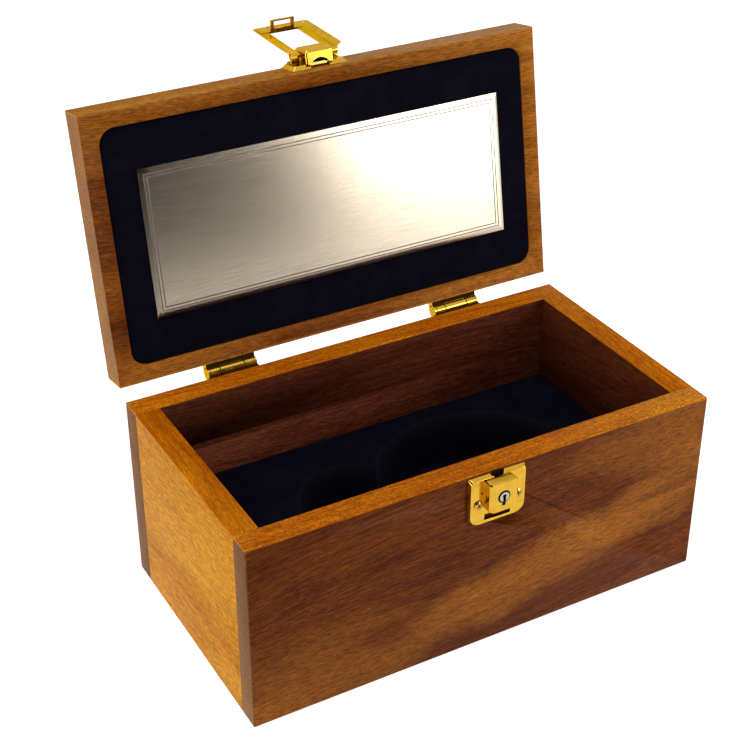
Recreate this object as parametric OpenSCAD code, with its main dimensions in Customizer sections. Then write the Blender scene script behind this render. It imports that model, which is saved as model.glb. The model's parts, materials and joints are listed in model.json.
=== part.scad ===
// Wooden microphone case with a hinged lid, stop hinges and a keyed hasp lock.
// The origin is the middle of the underside, +Z is up and the front faces -Y.
// Pieces of the lid are drawn in their closed place and then swung open.

/* [Case] */
// Length of the case
case_l = 240; // [200:1:300]
// Depth of the case from front to back
case_d = 130; // [116:1:180]
// Height of the box below the lid
box_h = 97; // [90:1:130]
// Thickness of the four side boards
board_t = 12; // [10:0.5:15]
// Thickness of the base panel
base_t = 6; // [4:0.5:9]
// Depth of the rebate that holds the base panel
rebate = 4; // [2:0.5:6]
// Diameter of the corner dowels
dowel_d = 5; // [3:0.5:6]
// Length of a corner dowel
dowel_l = 24; // [16:1:30]
// Height of the lower row of dowels
dowel_low = 26; // [18:1:40]
// Height from the lower row of dowels to the upper row
dowel_rise = 44; // [20:1:48]

/* [Lid] */
// Thickness of the lid
lid_t = 16; // [15.5:0.5:20]
// Angle at which the hinge stops hold the open lid
open_angle = 100; // [92:1:108]
// Gap between the lid and the rim when closed
seam_gap = 0.2; // [0.1:0.1:0.6]
// Width of wood left round the recess in the lid
recess_margin = 8; // [6:0.5:14]
// Depth of the recess in the lid
recess_depth = 2; // [2:0.1:3]
// Corner radius of the recess in the lid
recess_r = 8; // [3:0.5:14]
// Thickness of the velvet panel in the lid
panel_t = 1.2; // [0.8:0.1:1.2]
// Length of the plaque
plaque_l = 193; // [80:1:194]
// Height of the plaque
plaque_w = 72; // [40:1:92]
// Thickness of the plaque
plaque_t = 0.8; // [0.4:0.1:0.8]

/* [Insert] */
// Thickness of the padded insert
insert_h = 46; // [36:1:60]
// Depth of the nest in the insert
nest_depth = 28; // [15:1:34]
// Place of the nest's head along the case
head_x = 33; // [20:1:38]
// Length of the nest's head
head_l = 100; // [80:1:110]
// Width of the nest's head
head_w = 84; // [60:1:88]
// Place of the nest's foot along the case
foot_x = -32; // [-50:1:-28]
// Diameter of the nest's foot
foot_d = 57; // [40:1:70]
// Width of the neck between the head and the foot
neck_w = 30; // [16:1:40]

/* [Hinges] */
// Distance of each hinge from the middle of the case
hinge_x = 63.5; // [40:0.5:80]
// Length of a hinge
hinge_l = 25.6; // [22:0.1:32]
// Diameter of the hinge barrel
barrel_d = 4.8; // [4.2:0.1:5.2]
// Diameter of the hinge pin
hinge_pin_d = 2.4; // [1.6:0.1:2.8]
// Distance of the hinge axis behind the case
axis_out = 4.6; // [4.6:0.1:5.6]
// Height of a hinge leaf
leaf_h = 12.5; // [12:0.5:14]
// Length of each end knuckle
knuckle_l = 6.4; // [5:0.1:8]
// Depth of the stop shoulder beyond the barrel
stop_d = 1.8; // [1.2:0.1:2]
// Distance from the middle of a hinge to each screw
hinge_screw_x = 7.6; // [6:0.1:8]
// Length of a hinge screw
hinge_screw_l = 12; // [8:0.5:13]

/* [Lock] */
// Place of the lock along the front
lock_x = 2; // [-20:1:20]
// Width of the lock plate and the hasp plate
lock_w = 29.6; // [28:0.1:34]
// Height of the lock plate
lock_h = 25.2; // [25.2:0.1:28]
// Distance from the rim down to the lock plate
lock_drop = 1.6; // [1:0.1:4]
// Height of the plates' raised face above the wood
plate_rise = 2; // [1.8:0.1:2.2]
// Width of the slope round the plates
plate_slope = 1.5; // [0.8:0.1:1.5]
// Thickness of the pressed sheet
sheet_t = 1; // [0.7:0.1:1]
// Width of the lock housing and the hasp block
housing_w = 14.6; // [12:0.1:15]
// Height of the lock housing
housing_h = 16.2; // [15.6:0.1:17]
// Distance of the housing's face from the wood
housing_out = 6.8; // [6.2:0.1:8]
// Diameter of the key plug
plug_d = 5.6; // [5:0.1:6.4]
// Distance of the crank pin from the plug's axis
crank_r = 1.8; // [1.7:0.05:1.85]
// Diameter of the crank pin
crank_d = 1.3; // [1:0.1:1.4]
// Width of the bolt
bolt_w = 7.7; // [7.2:0.1:8]
// Thickness of the bolt
bolt_t = 1.2; // [0.8:0.1:1.2]
// Depth of the pocket cut in the front board
pocket_d = 2.4; // [2.3:0.1:4]
// Length of the lock's and the hasp plate's screws
small_screw_l = 10; // [7:0.5:12]

/* [Hasp] */
// Height of the hasp's pivot above the lid's lower face
pivot_h = 9.3; // [8.8:0.1:9.8]
// Distance of the hasp's pivot from the wood
pivot_out = 5.6; // [5.5:0.1:6]
// Angle from the closed hasp to the open hasp
hasp_angle = 170; // [150:1:172]
// Distance of the closed hasp's inner face from the wood
hasp_in = 4; // [4:0.1:4.2]
// Width of the slope round the hasp
hasp_slope = 2.7; // [2:0.1:2.8]
// Depth of the slope round the hasp
hasp_skirt = 1.6; // [1:0.1:1.6]
// Width of the hasp's tab
tab_w = 12.7; // [11:0.1:13]
// Length of the hasp's tab
tab_l = 5.6; // [5.6:0.1:6]
// Diameter of the hasp's pin
hasp_pin_d = 1.8; // [1.2:0.1:2]
// Diameter of the eyes at the ends of the hasp's arms
eye_d = 3.4; // [3:0.1:3.4]
// Height of the hasp plate
hasp_plate_h = 13; // [12:0.1:13]
// Height of the hasp block
block_h = 12.6; // [11.5:0.1:12.8]
// Distance of the block's face from the wood
block_out = 8.6; // [8:0.1:10]

/* [Hidden] */

fit = 0.05;
soft_gap = 0.3;
eps = 0.02;
inner_l = case_l - 2 * board_t;
inner_d = case_d - 2 * board_t;
front_y = -case_d / 2;
back_y = case_d / 2;
lid_z = box_h + seam_gap;
end_x = case_l / 2 - board_t / 2;

leaf_t = axis_out - barrel_d / 2;
axis_y = back_y + axis_out;
axis_z = box_h;
stop_r = barrel_d / 2 + 0.1;
stop_slack = 0.4;
knuckle_gap = 0.15;

lock_top = box_h - lock_drop;
lock_low = lock_top - lock_h;
housing_top = lock_top - plate_slope;
housing_low = housing_top - housing_h;
plug_z = housing_top - housing_h / 2;
groove_out = housing_out - 2.9;
retainer_d = 1.6;
tab_z = lock_low + hasp_slope + sheet_t / 2;
slot_low = tab_z - sheet_t / 2 - 0.85;
slot_top = tab_z + 2;
bolt_rise = crank_r * sin(45);
bolt_low = tab_z + sheet_t / 2 + 0.45;
bolt_top = plug_z + bolt_rise + crank_d / 2 + 1.5;
guide_low = tab_z + 2;
guide_top = bolt_top + 0.6;
guide_w = bolt_w + 2 * 0.15;
pocket_w = tab_w + 3.3;
lock_screw_x = (housing_w / 2 + lock_w / 2 - plate_slope) / 2;
lock_screw_z = plug_z - 4.2;

window_w = housing_w + 1.4;
hasp_y = front_y - pivot_out;
hasp_z = lid_z + pivot_h;
hasp_flat_w = lock_w + 0.4 - 2 * hasp_slope;
hasp_plate_low = (lid_t - hasp_plate_h) * 0.9;
block_low = hasp_plate_low + 0.2;
hasp_screw_x = 10.8;
hasp_screw_h = 13.1;
eye_gap = 0.35;

hinge_screw_r = 1.2;
small_screw_r = 1.1;

$fn = 40;

// Swings a closed lid piece to its open place
module lid_open() {
    translate([0, axis_y, axis_z]) rotate([-open_angle, 0, 0]) translate([0, -axis_y, -axis_z]) children();
}

// Flips the closed hasp right over, before the lid carries it up
module hasp_open() {
    lid_open() translate([0, hasp_y, hasp_z]) rotate([-hasp_angle, 0, 0])
        translate([0, -hasp_y, -hasp_z]) children();
}

// Turns x, y, z into right, up and out of the front face, centred on the lock
module on_front(z = 0) {
    translate([lock_x, front_y, z]) rotate([90, 0, 0]) children();
}

// A slab with four equal round corners, standing on z = 0
module round_slab(w, d, t, r) {
    translate([-w / 2 + r, -d / 2, 0]) cube([w - 2 * r, d, t]);
    translate([-w / 2, -d / 2 + r, 0]) cube([w, d - 2 * r, t]);
    for (x = [-1, 1], y = [-1, 1])
        translate([x * (w / 2 - r), y * (d / 2 - r), 0]) cylinder(r = r, h = t);
}

// A thin outline with its own corner radius above and below, for pressed plates
module plate_outline(w, h, r_low, r_high, t = 0.2) {
    for (x = [-1, 1]) {
        translate([x * (w / 2 - r_low), -h / 2 + r_low, 0]) cylinder(r = r_low, h = t, $fn = 32);
        translate([x * (w / 2 - r_high), h / 2 - r_high, 0]) cylinder(r = r_high, h = t, $fn = 32);
    }
}

// A pressed plate with sloping sides and a hollow back
module pressed_plate(w, h, rise, slope, r_low, r_high) {
    difference() {
        hull() {
            plate_outline(w, h, r_low, r_high);
            translate([0, 0, rise - 0.2]) plate_outline(w - 2 * slope, h - 2 * slope, r_low, r_high);
        }
        hull() {
            translate([0, 0, -eps]) plate_outline(w - 2 * sheet_t, h - 2 * sheet_t, r_low, r_high);
            translate([0, 0, rise - sheet_t - 0.2])
                plate_outline(w - 2 * slope - sheet_t, h - 2 * slope - sheet_t, r_low, r_high);
        }
    }
}

// A screw with a low round head, whose head rests on z = 0 and whose point looks down
module pan_screw(head_r, shank_r, length) {
    difference() {
        union() {
            cylinder(r = head_r, h = 0.5);
            translate([0, 0, 0.5]) cylinder(r1 = head_r, r2 = head_r * 0.72, h = 0.4);
        }
        for (a = [0, 90]) rotate([0, 0, a + 20]) translate([-head_r * 0.6, -0.25, 0.35]) cube([head_r * 1.2, 0.5, 1]);
    }
    translate([0, 0, -length + 2]) cylinder(r = shank_r, h = length - 2 + eps);
    translate([0, 0, -length]) cylinder(r1 = 0.2, r2 = shank_r, h = 2);
}

// A screw whose sunk head is flush with z = 0
module flat_screw(length) {
    difference() {
        translate([0, 0, -1.2]) cylinder(r1 = hinge_screw_r, r2 = 2.1, h = 1.2);
        for (a = [0, 90]) rotate([0, 0, a + 35]) translate([-1.25, -0.22, -0.6]) cube([2.5, 0.44, 1]);
    }
    translate([0, 0, -length + 2]) cylinder(r = hinge_screw_r, h = length - 3.2 + eps);
    translate([0, 0, -length]) cylinder(r1 = 0.2, r2 = hinge_screw_r, h = 2);
}

// The room that a screw leaves in wood or metal
module screw_hole(r, length) {
    translate([0, 0, -length - 0.3]) cylinder(r = r + fit, h = length + 1);
}

// Places one flat screw, or its hole, at every screw of the box leaves
module at_box_leaf_screws() {
    for (s = [-1, 1], x = [-1, 1])
        translate([s * hinge_x + x * hinge_screw_x, back_y + leaf_t, box_h - leaf_h * 0.62])
            rotate([-90, 0, 0]) children();
}

// The same for the lid leaves, on the closed lid
module at_lid_leaf_screws() {
    for (s = [-1, 1], x = [-1, 1])
        translate([s * hinge_x + x * hinge_screw_x, back_y + leaf_t, box_h + leaf_h * 0.62])
            rotate([-90, 0, 0]) children();
}

// Places one of the two screws of the lock plate
module at_lock_screws() {
    for (x = [-1, 1]) on_front(lock_screw_z) translate([x * lock_screw_x, 0, plate_rise]) children();
}

// Places one of the two screws of the hasp plate, on the closed lid
module at_hasp_screws() {
    for (x = [-1, 1]) on_front(lid_z + hasp_screw_h) translate([x * hasp_screw_x, 0, plate_rise]) children();
}

// Places a dowel, or its bore, at every corner of the box
module at_dowels() {
    for (x = [-1, 1], y = [-1, 1], z = [0, 1])
        translate([x * end_x, y * (inner_d / 2 + board_t * 0.75), dowel_low + z * dowel_rise])
            rotate([y * 90, 0, 0]) children();
}

// The rebate that the base panel sits in
module base_room() {
    translate([-inner_l / 2 - rebate - fit, -inner_d / 2 - rebate - fit, -1])
        cube([inner_l + 2 * (rebate + fit), inner_d + 2 * (rebate + fit), base_t + 1]);
}

// A long board, at the front for side -1 and at the back for side 1
module long_board(side) {
    difference() {
        translate([-case_l / 2, side > 0 ? inner_d / 2 : front_y, 0]) cube([case_l, board_t, box_h]);
        base_room();
        at_dowels() cylinder(r = dowel_d / 2 + fit, h = dowel_l + fit);
    }
}

// A short board, which fits between the long boards
module end_board(side) {
    difference() {
        translate([side > 0 ? inner_l / 2 : -case_l / 2, -inner_d / 2, 0]) cube([board_t, inner_d, box_h]);
        base_room();
        at_dowels() cylinder(r = dowel_d / 2 + fit, h = dowel_l + fit);
    }
}

module front_board() {
    color([0.50, 0.25, 0.12]) difference() {
        long_board(-1);
        on_front(slot_low - 0.4) translate([-pocket_w / 2, 0, -pocket_d])
            cube([pocket_w, guide_top - slot_low + 0.8, pocket_d + 1]);
        at_lock_screws() screw_hole(small_screw_r, small_screw_l);
    }
}

module back_board() {
    color([0.50, 0.25, 0.12]) difference() {
        long_board(1);
        at_box_leaf_screws() screw_hole(hinge_screw_r, hinge_screw_l);
    }
}

module left_board() {
    color([0.72, 0.42, 0.18]) end_board(-1);
}

module right_board() {
    color([0.72, 0.42, 0.18]) end_board(1);
}

module base_board() {
    color([0.66, 0.45, 0.26]) translate([-inner_l / 2 - rebate, -inner_d / 2 - rebate, 0])
        cube([inner_l + 2 * rebate, inner_d + 2 * rebate, base_t]);
}

module corner_dowels() {
    color([0.80, 0.62, 0.38]) at_dowels() cylinder(r = dowel_d / 2, h = dowel_l);
}

// The outline of the nest: an oval for the head, a round foot and the neck between them
module nest_outline() {
    polygon([for (a = [0:5:355]) [head_x + head_l / 2 * cos(a), head_w / 2 * sin(a)]]);
    translate([foot_x, 0]) circle(d = foot_d, $fn = 64);
    translate([foot_x, -neck_w / 2]) square([head_x - foot_x, neck_w]);
}

module insert() {
    color([0.05, 0.06, 0.14]) difference() {
        translate([-inner_l / 2 + soft_gap, -inner_d / 2 + soft_gap, base_t])
            cube([inner_l - 2 * soft_gap, inner_d - 2 * soft_gap, insert_h]);
        translate([0, 0, base_t + insert_h - nest_depth]) linear_extrude(nest_depth + 1) nest_outline();
    }
}

module lid_board() {
    recess_l = case_l - 2 * recess_margin;
    recess_w = case_d - 2 * recess_margin;
    color([0.46, 0.20, 0.10]) lid_open() difference() {
        translate([-case_l / 2, front_y, lid_z]) cube([case_l, case_d, lid_t]);
        translate([0, 0, lid_z - 1]) round_slab(recess_l, recess_w, recess_depth + 1, recess_r);
        at_lid_leaf_screws() screw_hole(hinge_screw_r, hinge_screw_l);
        at_hasp_screws() screw_hole(small_screw_r, small_screw_l);
    }
}

module lid_panel() {
    panel_l = case_l - 2 * recess_margin - 2 * soft_gap;
    panel_w = case_d - 2 * recess_margin - 2 * soft_gap;
    color([0.06, 0.07, 0.16]) lid_open() translate([0, 0, lid_z + recess_depth - panel_t])
        round_slab(panel_l, panel_w, panel_t, recess_r - soft_gap);
}

module plaque() {
    color([0.78, 0.76, 0.70]) lid_open()
        translate([-plaque_l / 2, -plaque_w / 2, lid_z + recess_depth - panel_t - plaque_t])
            cube([plaque_l, plaque_w, plaque_t]);
}

// Half of a stop hinge seen from its end, with the axis at the origin, the case on the
// left and the leaf below. The shoulder under the barrel meets its twin on the other
// leaf when the lid has turned through the open angle.
module leaf_profile() {
    outer_r = stop_r + stop_d;
    reach = outer_r + 2;
    square_low = -leaf_h;
    difference() {
        union() {
            translate([-axis_out, square_low]) square([leaf_t, leaf_h - knuckle_gap]);
            translate([-axis_out, -outer_r]) square([axis_out, outer_r - stop_r]);
            intersection() {
                circle(r = outer_r);
                polygon([[0, 0], [0, -reach], [reach * tan(90 - open_angle / 2), -reach]]);
            }
        }
        circle(r = stop_r);
        polygon([[0, 0], reach * 2 * [cos(open_angle / 2 + stop_slack), -sin(open_angle / 2 + stop_slack)], [reach * 2, 0]]);
    }
}

// A knuckle with the web that joins it to its leaf, seen from its end
module knuckle_profile() {
    circle(d = barrel_d);
    translate([-axis_out, -barrel_d / 2]) square([axis_out, barrel_d / 2 - knuckle_gap]);
}

// Draws a hinge profile along X, on the hinge axis
module along_hinge(from, length) {
    translate([from, axis_y, axis_z]) rotate([90, 0, 90]) linear_extrude(length) children();
}

// A leaf drawn as for the box: outer knuckles for the box, the middle one for the lid
module hinge_leaf(x, outer) {
    middle_l = hinge_l - 2 * knuckle_l;
    difference() {
        union() {
            along_hinge(x - hinge_l / 2, hinge_l) leaf_profile();
            if (outer) {
                for (s = [0, 1])
                    along_hinge(x - hinge_l / 2 + s * (hinge_l - knuckle_l), knuckle_l) knuckle_profile();
            } else {
                along_hinge(x - middle_l / 2 + knuckle_gap, middle_l - 2 * knuckle_gap) knuckle_profile();
            }
        }
        translate([x - hinge_l / 2 - 1, axis_y, axis_z]) rotate([0, 90, 0])
            cylinder(r = hinge_pin_d / 2 + fit, h = hinge_l + 2);
    }
}

// Room for a screw and its sunk head in a leaf
module leaf_screw_hole() {
    screw_hole(hinge_screw_r, leaf_t + 1);
    translate([0, 0, -1.2]) cylinder(r1 = hinge_screw_r + fit, r2 = 2.1 + fit, h = 1.2);
    translate([0, 0, -eps]) cylinder(r = 2.1 + fit, h = 1);
}

module box_leaf(side) {
    color([0.80, 0.62, 0.25]) difference() {
        hinge_leaf(side * hinge_x, true);
        at_box_leaf_screws() leaf_screw_hole();
    }
}

module lid_leaf(side) {
    color([0.80, 0.62, 0.25]) lid_open() difference() {
        translate([0, 0, 2 * axis_z]) mirror([0, 0, 1]) hinge_leaf(side * hinge_x, false);
        at_lid_leaf_screws() leaf_screw_hole();
    }
}

module left_box_leaf() {
    box_leaf(-1);
}

module right_box_leaf() {
    box_leaf(1);
}

module left_lid_leaf() {
    lid_leaf(-1);
}

module right_lid_leaf() {
    lid_leaf(1);
}

module hinge_pins() {
    color([0.76, 0.60, 0.28]) for (s = [-1, 1])
        translate([s * hinge_x - hinge_l / 2, axis_y, axis_z]) rotate([0, 90, 0])
            cylinder(d = hinge_pin_d, h = hinge_l);
}

module box_leaf_screws() {
    color([0.82, 0.66, 0.30]) at_box_leaf_screws() flat_screw(hinge_screw_l);
}

module lid_leaf_screws() {
    color([0.82, 0.66, 0.30]) lid_open() at_lid_leaf_screws() flat_screw(hinge_screw_l);
}

// Pressed plate of the lock, with a notch at the top and the slot that the tab enters
module lock_plate() {
    notch_r = 4.4;
    color([0.86, 0.68, 0.28]) difference() {
        on_front((lock_low + lock_top) / 2) pressed_plate(lock_w, lock_h, plate_rise, plate_slope, 4, 0.8);
        on_front(slot_low) translate([-tab_w / 2 - 0.5, 0, 0]) cube([tab_w + 1, slot_top - slot_low, plate_rise + 1]);
        on_front(lock_top + notch_r - 2.2) cylinder(r = notch_r, h = plate_rise + 1);
        on_front(plug_z) cylinder(r = plug_d / 2 + 0.5, h = plate_rise + 1);
        at_lock_screws() screw_hole(small_screw_r, 4);
    }
}

// Raised housing of the lock, bored for the plug and for the pin that keeps it
module lock_housing() {
    color([0.90, 0.72, 0.30]) difference() {
        on_front(plug_z) translate([0, 0, plate_rise]) hull() {
            plate_outline(housing_w, housing_h, 2.6, 1.2, housing_out - plate_rise - 0.8);
            translate([0, 0, housing_out - plate_rise - 0.2])
                plate_outline(housing_w - 1.2, housing_h - 1.2, 2.2, 0.8);
        }
        on_front(plug_z) cylinder(r = plug_d / 2 + fit, h = housing_out + 1);
        on_front(plug_z) translate([-housing_w / 2 - 1, 0, groove_out]) rotate([0, 90, 0])
            cylinder(d = retainer_d + 2 * fit, h = housing_w / 2);
    }
}

// Key plug with its keyhole, the groove for the retainer and the crank that drives the bolt
module lock_plug() {
    tail_out = bolt_t / 2 + 0.15;
    color([0.80, 0.80, 0.80]) difference() {
        on_front(plug_z) {
            translate([0, 0, tail_out]) cylinder(d = plug_d, h = housing_out + 0.4 - tail_out);
            translate([bolt_rise, bolt_rise, -bolt_t / 2]) cylinder(d = crank_d, h = bolt_t + 1);
        }
        on_front(plug_z) {
            translate([-0.5, -plug_d / 2 + 0.5, housing_out - 2]) cube([1, plug_d / 2, 3]);
            translate([0, 0.4, housing_out - 2]) cylinder(r = 0.95, h = 3, $fn = 24);
            translate([0, 0, groove_out - retainer_d / 2 - 0.15]) difference() {
                cylinder(r = plug_d, h = retainer_d + 0.3);
                translate([0, 0, -1]) cylinder(r = plug_d / 2 - 0.8, h = retainer_d + 3);
            }
        }
    }
}

module plug_retainer() {
    color([0.55, 0.55, 0.55]) on_front(plug_z) translate([-housing_w / 2 + 0.8, 0, groove_out])
        rotate([0, 90, 0]) cylinder(d = retainer_d, h = housing_w / 2 - 0.8 - plug_d / 2 + 0.55);
}

// Bolt that the crank slides down through the window of the hasp's tab
module lock_bolt() {
    slot_w = 2 * crank_r + crank_d + 0.6;
    slot_h = crank_d + 0.24;
    color([0.62, 0.60, 0.56]) difference() {
        on_front(bolt_low) translate([-bolt_w / 2, 0, -bolt_t / 2]) cube([bolt_w, bolt_top - bolt_low, bolt_t]);
        on_front(plug_z + bolt_rise) translate([-slot_w / 2, -slot_h / 2, -2]) cube([slot_w, slot_h, 4]);
    }
}

// Channel behind the plate that guides the bolt
module bolt_guide() {
    back = bolt_t / 2 + 0.15;
    color([0.60, 0.50, 0.30]) difference() {
        on_front(guide_low) translate([-guide_w / 2 - sheet_t, 0, -back - sheet_t])
            cube([guide_w + 2 * sheet_t, guide_top - guide_low, back + plate_rise]);
        on_front(guide_low - 1) translate([-guide_w / 2, 0, -back]) cube([guide_w, guide_top - guide_low + 2, 8]);
    }
}

module lock_screws() {
    color([0.80, 0.66, 0.40]) at_lock_screws() pan_screw(2.2, small_screw_r, small_screw_l);
}

// Pressed plate on the lid's front edge, notched in the middle of its lower side
module hasp_plate() {
    color([0.86, 0.68, 0.28]) lid_open() difference() {
        on_front(lid_z + hasp_plate_low + hasp_plate_h / 2)
            pressed_plate(lock_w, hasp_plate_h, plate_rise, plate_slope, 0.8, 0.8);
        on_front(lid_z + hasp_plate_low - 1) translate([-5, 0, -1]) cube([10, 3, plate_rise + 2]);
        at_hasp_screws() screw_hole(small_screw_r, 4);
    }
}

// Hollow block that carries the hasp's pin, arched where its lower side meets the plate
module hasp_block() {
    wall = 1.1;
    block_d = block_out - plate_rise;
    arch_r = 5.6;
    color([0.88, 0.70, 0.29]) lid_open() difference() {
        on_front(lid_z + block_low + block_h / 2) translate([0, 0, plate_rise]) hull() {
            plate_outline(housing_w, block_h, 0.9, 1.6, block_d - 1);
            translate([0, 0, block_d - 0.2]) plate_outline(housing_w - 1.4, block_h - 1.4, 0.6, 1.4);
        }
        on_front(lid_z + block_low + wall) translate([-housing_w / 2 + wall, 0, plate_rise - 1])
            cube([housing_w - 2 * wall, block_h - 2 * wall, block_d + 1 - wall]);
        on_front(lid_z + block_low - 1) translate([0, 0, plate_rise - arch_r + 2.6]) rotate([-90, 0, 0])
            cylinder(r = arch_r, h = wall + 1.5);
        on_front(lid_z + pivot_h) translate([-housing_w, 0, pivot_out]) rotate([0, 90, 0])
            cylinder(d = hasp_pin_d + 2 * fit, h = 2 * housing_w);
    }
}

// Leaf spring inside the block, bowed so that its crown rubs the pin
module hasp_spring() {
    strip_t = 0.4;
    crown = pivot_out - hasp_pin_d / 2 - 0.08;
    low = block_low + 1.4;
    points = [[low, plate_rise], [pivot_h - 2.6, plate_rise], [pivot_h - 1, crown - strip_t],
        [pivot_h + 1, crown - strip_t], [pivot_h + 2.6, plate_rise]];
    color([0.78, 0.76, 0.70]) lid_open() translate([lock_x - 3.5, front_y, lid_z]) rotate([90, 0, 90])
        linear_extrude(7) polygon(concat([for (p = points) [-p[1], p[0]]],
            [for (i = [4:-1:0]) [-points[i][1] - strip_t, points[i][0]]]));
}

// The hasp: a sloping U-shaped frame, an eye and a stop heel at the end of each arm, and the tab
module hasp_frame() {
    frame_low = lock_low;
    frame_high = lid_z + pivot_h;
    frame_h = frame_high - frame_low + 6;
    rise = hasp_skirt + sheet_t;
    eye_x = window_w / 2 + eye_gap - 0.35;
    eye_l = hasp_flat_w / 2 - eye_x;
    heel_l = pivot_out - plate_rise - 0.04;
    color([0.92, 0.74, 0.28]) hasp_open() difference() {
        union() {
            difference() {
                on_front(frame_low + frame_h / 2) translate([0, 0, hasp_in - hasp_skirt])
                    pressed_plate(lock_w + 0.4, frame_h, rise, hasp_slope, 2, 2);
                on_front(tab_z + sheet_t / 2) translate([-window_w / 2, 0, 0]) cube([window_w, frame_h, 12]);
                on_front(frame_high) translate([-lock_w, 0, 0]) cube([2 * lock_w, 20, 12]);
            }
            for (s = [-1, 1]) on_front(frame_high) translate([s * (eye_x + eye_l / 2), 0, pivot_out]) {
                rotate([0, 90, 0]) cylinder(d = eye_d, h = eye_l, center = true);
                translate([-eye_l / 2, -eye_d / 2, hasp_in - pivot_out]) cube([eye_l, eye_d / 2, pivot_out - hasp_in]);
            }
            for (s = [-1, 1]) on_front(frame_high) translate([s * (eye_x + eye_l / 2), 0, pivot_out])
                rotate([-(180 - hasp_angle), 0, 0]) translate([-eye_l / 2, -0.7, 0]) cube([eye_l, 1.4, heel_l]);
            on_front(tab_z - sheet_t / 2) translate([-tab_w / 2, 0, hasp_in - tab_l]) cube([tab_w, sheet_t, tab_l + 0.4]);
        }
        on_front(tab_z) translate([-tab_w / 2 + 1.8, -2, hasp_in - tab_l + 0.8]) cube([tab_w - 3.6, 4, tab_l - 2.2]);
        on_front(frame_high) translate([-lock_w, 0, pivot_out]) rotate([0, 90, 0])
            cylinder(d = hasp_pin_d + 2 * fit, h = 2 * lock_w);
    }
}

module hasp_pin() {
    pin_l = hasp_flat_w - 0.4;
    color([0.78, 0.62, 0.30]) hasp_open() on_front(lid_z + pivot_h) translate([-pin_l / 2, 0, pivot_out])
        rotate([0, 90, 0]) cylinder(d = hasp_pin_d, h = pin_l);
}

module hasp_screws() {
    color([0.80, 0.66, 0.40]) lid_open() at_hasp_screws() pan_screw(1.7, small_screw_r, small_screw_l);
}

front_board();
back_board();
left_board();
right_board();
base_board();
corner_dowels();
insert();
lid_board();
lid_panel();
plaque();
left_box_leaf();
right_box_leaf();
left_lid_leaf();
right_lid_leaf();
hinge_pins();
box_leaf_screws();
lid_leaf_screws();
lock_plate();
lock_housing();
lock_plug();
plug_retainer();
lock_bolt();
bolt_guide();
lock_screws();
hasp_plate();
hasp_block();
hasp_spring();
hasp_frame();
hasp_pin();
hasp_screws();
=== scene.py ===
import json
from math import pi, radians

import bmesh
import bpy
import numpy as np
from mathutils import Matrix, Vector


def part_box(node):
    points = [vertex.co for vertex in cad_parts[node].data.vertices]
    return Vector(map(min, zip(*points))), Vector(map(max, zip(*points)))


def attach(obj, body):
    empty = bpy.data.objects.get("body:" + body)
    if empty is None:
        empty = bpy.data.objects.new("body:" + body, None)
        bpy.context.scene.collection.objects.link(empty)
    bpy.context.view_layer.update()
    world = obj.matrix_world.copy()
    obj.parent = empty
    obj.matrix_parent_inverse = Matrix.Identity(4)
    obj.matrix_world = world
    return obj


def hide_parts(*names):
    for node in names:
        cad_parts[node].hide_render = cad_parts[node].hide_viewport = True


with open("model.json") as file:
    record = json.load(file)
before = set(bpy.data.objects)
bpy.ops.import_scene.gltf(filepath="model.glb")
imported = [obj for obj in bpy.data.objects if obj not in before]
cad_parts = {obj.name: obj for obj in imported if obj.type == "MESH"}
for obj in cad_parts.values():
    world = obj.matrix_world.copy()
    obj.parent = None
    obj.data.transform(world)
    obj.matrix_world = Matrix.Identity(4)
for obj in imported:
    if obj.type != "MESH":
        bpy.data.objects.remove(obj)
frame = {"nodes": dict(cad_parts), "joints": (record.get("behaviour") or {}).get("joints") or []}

scene = bpy.context.scene
scene.view_settings.view_transform = "Standard"
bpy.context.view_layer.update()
print("frame loaded")


# Camera, at the place the photograph was taken from

cameraSettings = {
    "place": (-0.32356, -0.53479, 0.49256),
    "aim": (-0.02275, 0.0, 0.11747),
    "lens": 75.72,
    "sensor": 36.0,
}


def turnTowards(place, aim):
    # the turn that makes a camera or a lamp at one place look at another
    return (Vector(aim) - Vector(place)).to_track_quat("-Z", "Y").to_euler()


def addCamera(s):
    data = bpy.data.cameras.new("camera")
    data.sensor_width = s["sensor"]
    data.lens = s["lens"]
    camera = bpy.data.objects.new("camera", data)
    camera.location = s["place"]
    camera.rotation_euler = turnTowards(s["place"], s["aim"])
    scene.collection.objects.link(camera)
    scene.camera = camera


addCamera(cameraSettings)
print("camera set")


# The lid's hinge, from the record

def jointNamed(name):
    return next(j for j in frame["joints"] if j["name"] == name)


lidJoint = jointNamed("lid_hinge")
hingePlace = lidJoint["pos_m"]
lidClosing = (
    Matrix.Translation(hingePlace)
    @ Matrix.Rotation(radians(lidJoint["range_deg"][1]), 4, Vector(lidJoint["axis"]))
    @ Matrix.Translation(-Vector(hingePlace))
)
lidOpening = lidClosing.inverted()


# Mesh helpers

meshSettings = {"weld": 2e-6, "flat": 1.0}


def pointsOf(mesh):
    points = np.empty(len(mesh.vertices) * 3)
    mesh.vertices.foreach_get("co", points)
    return points.reshape(-1, 3)


def setPoints(mesh, points):
    mesh.vertices.foreach_set("co", points.ravel())
    mesh.update()


def moved(points, matrix):
    m = np.array(matrix)
    return points @ m[:3, :3].T + m[:3, 3]


def boxOf(node):
    return [np.array(corner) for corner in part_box(node)]


def closedBox(node):
    # the box of a lid node, with the lid closed
    points = moved(pointsOf(frame["nodes"][node].data), lidClosing)
    return points.min(0), points.max(0)


def linked(name, mesh):
    piece = bpy.data.objects.new(name, mesh)
    scene.collection.objects.link(piece)
    return piece


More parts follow.
